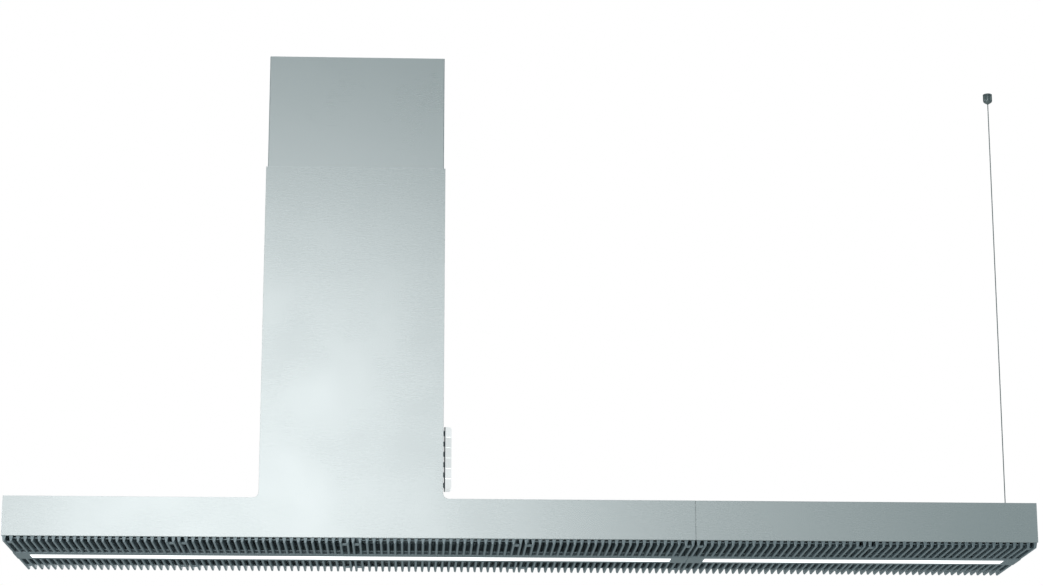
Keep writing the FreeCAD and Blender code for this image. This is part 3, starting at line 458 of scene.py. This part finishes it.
def long_panel(name, node, side):
    """The flush T-shaped sheet of the front or the back, with its hem."""
    low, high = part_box(node)
    bottom = PANEL_BOTTOM + FOLD
    right = [(high.x, bottom), (high.x, BODY_TOP)]
    right += arc((CHIMNEY_HALF + SHOULDER, BODY_TOP + SHOULDER), SHOULDER, 270, 180, 10)
    right.append((CHIMNEY_HALF, CHIMNEY_TOP))
    left = [(-x, z) for x, z in reversed(right[2:])] + [(low.x, BODY_TOP), (low.x, bottom)]
    bm = bmesh.new()
    bm.faces.new([bm.verts.new((x, side * HALF_DEPTH, z)) for x, z in right + left])
    sheet(bm, hem_profile(side), along_x, (low.x, high.x))
    return piece(name, bm, STEEL_X, "hood", [node], SHEET, (0, side, 0), EDGE)


def extension_skin():
    """Front, top and back of the extension in one folded sheet with two hems."""
    front_hem = hem_profile(-1)[::-1]
    back_hem = hem_profile(1)
    top_front = arc((-HALF_DEPTH + FOLD, BODY_TOP - FOLD), FOLD, 180, 90, 5)
    top_back = arc((HALF_DEPTH - FOLD, BODY_TOP - FOLD), FOLD, 90, 0, 5)
    bm = bmesh.new()
    sheet(bm, front_hem + top_front + top_back + back_hem, along_x, (SHELL_LOW.x, SHELL_HIGH.x))
    return piece("extension_skin", bm, STEEL_X, "hood", ["extension_shell"], SHEET,
                 (0, 0, 1), EDGE)


def lid(name, node):
    """A shoulder of the body: a flat top with its two long edges turned down inside."""
    low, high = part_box(node)
    half, down = high.y, LID_TURN
    outline = [(-half, BODY_TOP - down)]
    outline += arc((-half + FOLD, BODY_TOP - FOLD), FOLD, 180, 90, 5)
    outline += arc((half - FOLD, BODY_TOP - FOLD), FOLD, 90, 0, 5)
    outline.append((half, BODY_TOP - down))
    bm = bmesh.new()
    sheet(bm, outline, along_x, (low.x, high.x))
    return piece(name, bm, STEEL_X, "hood", [node], SHEET, (0, 0, 1), EDGE)


def end_cap(name, node, side):
    """A flat end with its lower edge folded inwards."""
    low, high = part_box(node)
    face = high.x if side > 0 else low.x
    outline = [(face, high.z)]
    start = 0 if side > 0 else 180
    outline += arc((face - side * FOLD, PANEL_BOTTOM + FOLD), FOLD, start, start - side * 180, 6)
    outline.append((face - side * 2 * FOLD, PANEL_BOTTOM + HEM))
    bm = bmesh.new()
    sheet(bm, outline, along_y, (low.y, high.y))
    return piece(name, bm, STEEL_Y, "hood", [node], SHEET, (side, 0, 0), EDGE)


def chimney_side(name, node, side, window=None):
    """A side of the lower chimney, bent outwards over the body. window is (y half, z span)."""
    low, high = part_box(node)
    face, reach = side * CHIMNEY_HALF, side * max(abs(low.x), abs(high.x))
    levels = [CHIMNEY_TOP] + (sorted(window[1], reverse=True) if window else [])
    centre = (face + side * SHOULDER, BODY_TOP + SHOULDER)
    start, stop = (180, 270) if side > 0 else (0, -90)
    outline = [(face, z) for z in levels] + arc(centre, SHOULDER, start, stop, 10) + [(reach, BODY_TOP)]
    stations = [low.y, high.y]
    if window:
        stations[1:1] = [-window[0], window[0]]
    bm = bmesh.new()
    sheet(bm, outline, along_y, stations, lambda row, column: bool(window) and (row, column) == (1, 1))
    return piece(name, bm, STEEL_Y, "hood", [node], SHEET, (side, 0, 0), EDGE)


def upper_tube():
    """The sliding cover: one sheet bent into a square tube, with a butt joint at the back."""
    half = UPPER_HIGH.x
    loop = rounded_box((-half, half), (-half, half), CORNER_BEND, 5)
    quarter = len(loop) // 4
    outline = [(TUBE_SLIT / 2, half)] + loop[:quarter][::-1] + loop[quarter:][::-1]
    outline.append((-TUBE_SLIT / 2, half))
    bm = bmesh.new()
    sheet(bm, outline, along_z, (UPPER_LOW.z, UPPER_HIGH.z))
    return piece("upper_tube", bm, TUBE_STEEL, "upper_chimney", ["upper_chimney"], SHEET,
                 None, EDGE)


def skin():
    long_panel("front_skin", "front_panel", -1)
    long_panel("back_skin", "back_panel", 1)
    extension_skin()
    lid("left_top", "left_lid")
    lid("right_top", "right_lid")
    end_cap("left_end", "left_end_cap", -1)
    end_cap("right_end", "right_end_cap", 1)
    base_low, base_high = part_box("keypad_base")
    plate_half = KEYPAD_PLATE_HALF
    margin = KEYPAD_BOX_MARGIN
    chimney_side("right_side", "chimney_right_side", 1,
                 (plate_half, (base_low.z + margin, base_high.z - margin)))
    chimney_side("left_side", "chimney_left_side", -1)
    upper_tube()


# ---- grilles and filters ---------------------------------------------------------
def fin(bm, x):
    """One fin of the back row: straight above, tapered to a round tip, round lower corners."""
    inner, outer = GRILLE_LOW.y, GRILLE_HIGH.y
    drop = PANEL_BOTTOM - FIN_TIP
    top = CASSETTE_TOP - CASSETTE_FRAME[1]
    tip = arc((0, FIN_TIP + TIP_RADIUS), TIP_RADIUS, 180, 360, 6)
    section = [(-FIN_HALF, top), (-FIN_HALF, PANEL_BOTTOM)] + tip
    section += [(FIN_HALF, PANEL_BOTTOM), (FIN_HALF, top)]

    def ring(y, raise_by):
        keep = 1 - raise_by / drop
        return [(x + u, y, z if z >= PANEL_BOTTOM else PANEL_BOTTOM + (z - PANEL_BOTTOM) * keep)
                for u, z in section]

    start = arc((inner + FIN_INNER_CORNER, 0), FIN_INNER_CORNER, 180, 90, 3)
    stop = arc((outer - FIN_OUTER_CORNER, 0), FIN_OUTER_CORNER, 90, 0, 5)
    rings = [ring(y, FIN_INNER_CORNER - height) for y, height in start]
    rings += [ring(y, FIN_OUTER_CORNER - height) for y, height in stop]
    loft(bm, rings)


def cassette_mesh():
    """A cassette of the back row, centred on x = 0."""
    inner, outer = GRILLE_LOW.y, GRILLE_HIGH.y
    half = (GRILLE_HIGH.x - GRILLE_LOW.x) / 2
    places = [(index - (FINS - 1) / 2) * FIN_PITCH for index in range(FINS)]
    bm = bmesh.new()
    for x in places:
        fin(bm, x)
    width, height = CASSETTE_FRAME
    section = rounded_box((0, width), (CASSETTE_TOP - height, CASSETTE_TOP), 0.6 * MM, 2)
    picture_frame(bm, (-half, half), (inner, outer), section)
    for start, rise in (INNER_RAIL, OUTER_RAIL):
        rail_z = (FIN_TIP + rise, FIN_TIP + rise + RAIL)
        prism(bm, rounded_box((start, start + RAIL), rail_z, 0.8 * MM, 2), along_x,
              places[1], places[-2])
    pull_y = (PULL_CENTRE - PULL[0] / 2, PULL_CENTRE + PULL[0] / 2)
    pull_z = (FIN_TIP + PULL_RAISE, FIN_TIP + PULL_RAISE + PULL[1])
    for ends in (places[:2], places[-2:]):
        prism(bm, rounded_box(pull_y, pull_z, 1.4 * MM, 4), along_x, *ends)
    bmesh.ops.recalc_face_normals(bm, faces=bm.faces)
    return to_mesh("cassette", bm)


def filter_mesh(low, high):
    """A framed pad of two crossed corrugated layers; low and high are its corners at x = 0."""
    bm = bmesh.new()
    border = FILTER_BORDER
    section = rounded_box((0, border), (low.z, high.z), 1.2 * MM, 3)
    picture_frame(bm, (low.x, high.x), (low.y, high.y), section)
    inset = 1 * MM
    wave, crest = FILTER_WAVE
    middle = (low.z + high.z) / 2
    span_x = (low.x + border - inset, high.x - border + inset)
    span_y = (low.y + border - inset, high.y - border + inset)
    for span, across, place, level in ((span_x, span_y, along_y, middle + crest),
                                       (span_y, span_x, along_x, middle - crest)):
        count = int((span[1] - span[0]) / wave)
        line = [(span[0] + (span[1] - span[0]) * k / count, level + crest * (-1) ** k)
                for k in range(count + 1)]
        thick = [(u, z + FILTER_WIRE) for u, z in reversed(line)]
        prism(bm, line + thick, place, *across)
    bmesh.ops.recalc_face_normals(bm, faces=bm.faces)
    return to_mesh("filter", bm)


def to_mesh(name, bm):
    mesh = bpy.data.meshes.new(name)
    bm.to_mesh(mesh)
    bm.free()
    return mesh


def moved(mesh, x, front):
    """A copy of a back-row mesh at x, turned over to the front row if asked."""
    copy = mesh.copy()
    copy.transform(Matrix.Translation((x, 0, 0)))
    if front:
        copy.transform(Matrix.Scale(-1, 4, (0, 1, 0)))
        copy.flip_normals()
    return copy


def grilles():
    cassette = cassette_mesh()
    low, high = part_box("back_filter_1")
    middle = Vector(((low.x + high.x) / 2, 0, 0))
    pad = filter_mesh(low - middle, high - middle)
    for row in ("front", "back"):
        for number in range(1, 7):
            node = "%s_grille_%d" % (row, number)
            body = "%s_cassette_%d" % (row, number)
            start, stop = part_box(node)
            x = (start.x + stop.x) / 2
            place_mesh("%s_louvre_%d" % (row, number), moved(cassette, x, row == "front"), GRILLE,
                       body, [node])
            node = "%s_filter_%d" % (row, number)
            if node in frame["nodes"]:
                place_mesh("%s_mesh_pad_%d" % (row, number), moved(pad, x, row == "front"), MESH,
                           body, [node])


# ---- light bars ------------------------------------------------------------------
def bar_outline():
    """(y, z) across a light bar's channel, with the lens slot as its middle cell."""
    low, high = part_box("main_light_bar")
    flange, roof = high.y, high.z
    half = [(flange, roof), (BAR_HALF, roof)]
    half += arc((BAR_HALF - BAR_BEND, FIN_TIP + BAR_BEND), BAR_BEND, 0, -90, 6)
    half.append((LENS_HALF, FIN_TIP))
    return half + [(-y, z) for y, z in reversed(half)]


def light_bar(name, node, lens_node):
    low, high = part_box(node)
    lens_low, lens_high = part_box(lens_node)
    lens = (lens_low.x + LENS_FLANGE[0], lens_high.x - LENS_FLANGE[0])
    outline = bar_outline()
    slot = len(outline) // 2 - 1
    bm = bmesh.new()
    sheet(bm, outline, along_x, (low.x, lens[0], lens[1], high.x),
          lambda row, column: (row, column) == (1, slot))
    channel = outline[1:-1]
    for x in (low.x, high.x):
        bm.faces.new([bm.verts.new((x, y, z)) for y, z in channel])
    return piece(name, bm, BAR, "hood", [node], SHEET, (0, 0, -1), EDGE)


def lens(name, node):
    """The opal strip, flush with the bar, on a flange that rests inside."""
    low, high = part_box(node)
    reach, thickness = LENS_FLANGE
    half = LENS_HALF - LENS_GAP
    flange = half + reach
    ledge = FIN_TIP + BAR_SHEET
    lower = arc((half - LENS_CORNER, FIN_TIP + LENS_CORNER), LENS_CORNER, 0, -90, 3)
    right = [(flange, ledge + thickness), (flange, ledge), (half, ledge)] + lower
    outline = right + [(-y, z) for y, z in reversed(right)]
    bm = bmesh.new()
    start, stop = low.x + reach + LENS_GAP, high.x - reach - LENS_GAP
    prism(bm, outline, along_x, start, stop)
    for end, outer in ((start, low.x), (stop, high.x)):
        prism(bm, rounded_box((-flange, flange), (ledge, ledge + thickness), 0.3 * MM, 2), along_x,
              *sorted((end, outer)))
    return piece(name, bm, OPAL, "hood", [node])


# ---- controls --------------------------------------------------------------------
def push_key(number):
    """A satin key; the first and last one are round at their outer corner."""
    node = "key_%d" % number
    low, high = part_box(node)
    back = KEY_BACK
    corners = [KEY_EDGE, KEY_BACK_CORNER, KEY_BACK_CORNER, KEY_EDGE]   # outer, two inner, outer
    if number == 1:
        corners[0] = KEY_CORNER
    if number == KEY_COUNT:
        corners[3] = KEY_CORNER
    centres = [(high.x - corners[0], high.z - corners[0]), (back + corners[1], high.z - corners[1]),
               (back + corners[2], low.z + corners[2]), (high.x - corners[3], low.z + corners[3])]
    outline = []
    for index, (centre, radius) in enumerate(zip(centres, corners)):
        outline += arc(centre, radius, index * 90, index * 90 + 90, 6)
    bm = bmesh.new()
    middle = (low.z + high.z) / 2
    rings = []
    edge = arc((0, 0), KEY_EDGE, 180, 90, 4)
    for along, inset in [(u + KEY_EDGE, KEY_EDGE - v) for u, v in edge]:
        rings.append((low.y + along, inset))
    rings += [(-y, inset) for y, inset in reversed(rings)]
    centre_x = (back + high.x) / 2
    half_x, half_z = (high.x - back) / 2, (high.z - low.z) / 2
    loft(bm, [[(centre_x + (x - centre_x) * (1 - inset / half_x), y,
                middle + (z - middle) * (1 - inset / half_z)) for x, z in outline]
              for y, inset in rings])
    stem = KEY_STEM_HALF
    prism(bm, rounded_box((-stem, stem), (middle - stem, middle + stem), 0.5 * MM, 2), along_x,
          low.x, back + KEY_EDGE)
    grey = number in (2, 3, 4)
    return piece("key_cap_%d" % number, bm, KEY_GREY if grey else KEY_WHITE,
                 node, [node])


# ---- suspension ------------------------------------------------------------------
def anchor():
    """A turned ceiling fitting: collar, groove, domed nose and the ferrule of the cable."""
    low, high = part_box("ceiling_anchor")
    centre = Vector(((low.x + high.x) / 2, 0, 0))
    radius, tip = (high.x - low.x) / 2, low.z
    profile = [(0, high.z), (radius - 0.4 * MM, high.z), (radius, -0.4 * MM), (radius, -3.2 * MM)]
    profile += [(radius - 0.7 * MM, -3.6 * MM), (radius - 0.7 * MM, -4.4 * MM), (radius, -4.8 * MM)]
    dome = arc((0, -12 * MM), 1.0, 0, -68, 8)
    profile += [(radius * u, -12 * MM + (v + 12 * MM) * 6.2 * MM) for u, v in dome]
    profile += [(2.2 * MM, -18.2 * MM), (2.0 * MM, tip), (CABLE_RADIUS, tip), (0, tip)]
    bm = bmesh.new()
    lathe(bm, profile, centre)
    return piece("ceiling_fitting", bm, FITTING, "ceiling_frame", ["ceiling_anchor"])


def gripper():
    """The cable clamp on the extension: foot, knurled barrel and tapered nose."""
    low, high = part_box("cable_gripper")
    centre = Vector(((low.x + high.x) / 2, 0, low.z))
    foot, barrel, nose = (high.x - low.x) / 2, 6 * MM, 3.5 * MM
    height = high.z - low.z
    profile = [(0, 0), (foot, 0), (foot, 2.4 * MM), (foot - 0.6 * MM, 3 * MM), (barrel - 0.5 * MM, 3 * MM)]
    grooves = 8
    for index in range(grooves):
        z = (4 + index * 1.35) * MM
        profile += [(barrel, z), (barrel, z + 0.8 * MM), (barrel - 0.45 * MM, z + 1.05 * MM)]
    profile += [(barrel, 15.4 * MM), (barrel - 0.4 * MM, 16 * MM), (nose + 0.3 * MM, height - 0.4 * MM)]
    profile += [(nose - 0.1 * MM, height), (0, height)]
    bm = bmesh.new()
    lathe(bm, profile, centre)
    return piece("cable_clamp", bm, FITTING, "hood", ["cable_gripper"])


def cable():
    """The suspension cable: six wires laid round a core, hung straight down."""
    low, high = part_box("suspension_cable")
    x = (low.x + high.x) / 2
    top, bottom = Vector((x, 0, high.z)), Vector((x, 0, low.z))
    length = high.z - low.z
    wire = CABLE_RADIUS / 3
    bm = bmesh.new()
    steps = int(length / LAY_LENGTH * STEPS_PER_TURN)
    for strand in range(STRANDS):
        rings = []
        for step in range(steps + 1):
            turn = tau * (step / STEPS_PER_TURN + strand / STRANDS)
            centre = bottom + Vector((cos(turn), sin(turn), 0)) * (CABLE_RADIUS - wire)
            centre.z += length * step / steps
            rings.append([centre + Vector((cos(tau * k / WIRE_SIDES), sin(tau * k / WIRE_SIDES), 0)) * wire
                          for k in range(WIRE_SIDES)])
        loft(bm, rings)
    prism(bm, arc((x, 0), wire, 0, 315, 7), along_z, low.z, high.z)
    rope = piece("suspension_rope", bm, WIRE, "ceiling_frame", ["suspension_cable"])
    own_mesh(rope)
    return rope


# ---- inner parts that keep their CAD shape ---------------------------------------
KEPT = {
    "chassis_steel": (ZINC_SHEET, 0.2 * MM),
    "fastener_steel": (ZINC, 0.2 * MM),
    "led_board": (BOARD, 0.1 * MM),
    "blower_plastic": (BLACK_PLASTIC, 0.4 * MM),
    "impeller_plastic": (GREY_PLASTIC, 0.2 * MM),
    "motor_steel": (ENAMEL, 0.4 * MM),
    "collar_plastic": (COLLAR_PLASTIC, 0.3 * MM),
    "keypad_dark": (KEYPAD_DARK, 0.4 * MM),
}


def kept_nodes():
    """Finer finish and broken edges on the CAD nodes that still show."""
    for entry in frame["record"]["subparts"]:
        obj = frame["nodes"][entry["node"]]
        if obj.hide_render:
            continue
        material, edge = KEPT[entry["material_slot"]]
        for holder in obj.material_slots:
            holder.material = material
        weld = obj.modifiers.new("weld", "WELD")
        weld.merge_threshold = WELD
        soften(obj, edge)


# ---- stage, light and camera -----------------------------------------------------
def floor():
    """A plain pale floor, paler to the eye than as a source of light on the hood."""
    bm = bmesh.new()
    bmesh.ops.create_grid(bm, x_segments=1, y_segments=1, size=FLOOR_SIZE)
    mesh = to_mesh("floor", bm)
    obj = bpy.data.objects.new("floor", mesh)
    obj.location.z = FLOOR_Z
    bpy.context.scene.collection.objects.link(obj)
    material = finish("floor", (0.86, 0.87, 0.87), 0.0, 0.7, 40, broad=0.5, contrast=0.02)
    tree = material.node_tree
    shader = tree.nodes["Principled BSDF"]
    shader.inputs["Emission Color"].default_value = (1.0, 0.97, 0.96, 1)
    seen = tree.nodes.new("ShaderNodeLightPath")
    glow = tree.nodes.new("ShaderNodeMath")
    glow.operation = "MULTIPLY"
    glow.inputs[1].default_value = FLOOR_GLOW
    tree.links.new(seen.outputs["Is Camera Ray"], glow.inputs[0])
    tree.links.new(glow.outputs["Value"], shader.inputs["Emission Strength"])
    mesh.materials.append(material)


def softbox(name, place, target, size, radiance):
    """A soft rectangular light of even radiance, unseen by the camera."""
    light = bpy.data.lights.new(name, "AREA")
    light.shape = "RECTANGLE"
    light.size, light.size_y = size
    light.energy = radiance * pi * size[0] * size[1]
    obj = bpy.data.objects.new(name, light)
    obj.location = place
    direction = Vector(target) - Vector(place)
    obj.rotation_euler = direction.to_track_quat("-Z", "Y").to_euler()
    obj.visible_camera = False
    bpy.context.scene.collection.objects.link(obj)


def world():
    """White behind the object, and an even cool grey room for light and reflections."""
    made = bpy.data.worlds.new("studio")
    bpy.context.scene.world = made
    made.use_nodes = True
    tree = made.node_tree
    room = tree.nodes["Background"]
    room.inputs["Color"].default_value = (*ROOM_COLOUR, 1)
    white = tree.nodes.new("ShaderNodeBackground")
    white.inputs["Color"].default_value = (1, 1, 1, 1)
    seen = tree.nodes.new("ShaderNodeLightPath")
    mix = tree.nodes.new("ShaderNodeMixShader")
    tree.links.new(seen.outputs["Is Camera Ray"], mix.inputs["Fac"])
    tree.links.new(room.outputs["Background"], mix.inputs[1])
    tree.links.new(white.outputs["Background"], mix.inputs[2])
    tree.links.new(mix.outputs["Shader"], tree.nodes["World Output"].inputs["Surface"])


def camera():
    data = bpy.data.cameras.new("camera")
    data.lens = CAMERA_LENS
    data.sensor_width = SENSOR_WIDTH
    data.shift_y = CAMERA_SHIFT
    data.clip_end = CLIP_END
    obj = bpy.data.objects.new("camera", data)
    obj.location = CAMERA_PLACE
    obj.rotation_euler = (radians(90 + CAMERA_TILT), 0, radians(-CAMERA_TURN))
    bpy.context.scene.collection.objects.link(obj)
    bpy.context.scene.camera = obj


FLOOR_Z = -2.6
FLOOR_SIZE = 60
FLOOR_GLOW = 0.5
ROOM_COLOUR = (0.25, 0.31, 0.32)
CAMERA_PLACE = (0.110, -4.700, -1.640)
CAMERA_TILT = 13.69                # degrees above the horizon
CAMERA_TURN = 2.35                 # degrees from +Y towards +X
CAMERA_LENS = 91.5
CAMERA_SHIFT = 0.05
SENSOR_WIDTH = 36.0
CLIP_END = 200.0
# name, place, target, size, radiance
SOFTBOXES = [
    ("front_softbox", (-0.92, -9.0, 0.8), (-0.92, 0, 0.8), (2.85, 3.0), 1.38),
    ("front_fill", (1.6, -9.0, 0.8), (1.6, 0, 0.8), (1.8, 2.0), 0.33),
    ("top_softbox", (-1.5, 0.0, 3.5), (-1.0, 0, 0), (6.0, 5.0), 1.0),
    ("back_softbox", (1.5, 9.0, 0.8), (0, 0, -0.6), (3.5, 3.0), 0.9),
    ("low_softbox", (-1.8, -5.0, -1.9), (-0.6, 0, -0.88), (3.4, 1.2), 1.8),
    ("left_softbox", (-8.5, -1.2, 0.3), (0, 0, -0.8), (3.0, 2.4), 2.4),
    ("right_softbox", (9.0, -1.5, 1.0), (0, 0, -0.6), (3.0, 3.0), 0.7),
]



def studio():
    """The plain view transform, the floor, the room and the lights."""
    bpy.context.scene.view_settings.view_transform = "Standard"
    floor()
    world()
    for light in SOFTBOXES:
        softbox(*light)


# ---- the hood --------------------------------------------------------------------
camera()
cable()
anchor()
gripper()
skin()
grilles()
light_bar("main_bar", "main_light_bar", "main_diffuser")
light_bar("extension_bar", "extension_light_bar", "extension_diffuser")
lens("main_lens", "main_diffuser")
lens("extension_lens", "extension_diffuser")
for key_number in range(1, KEY_COUNT + 1):
    push_key(key_number)
kept_nodes()
studio()
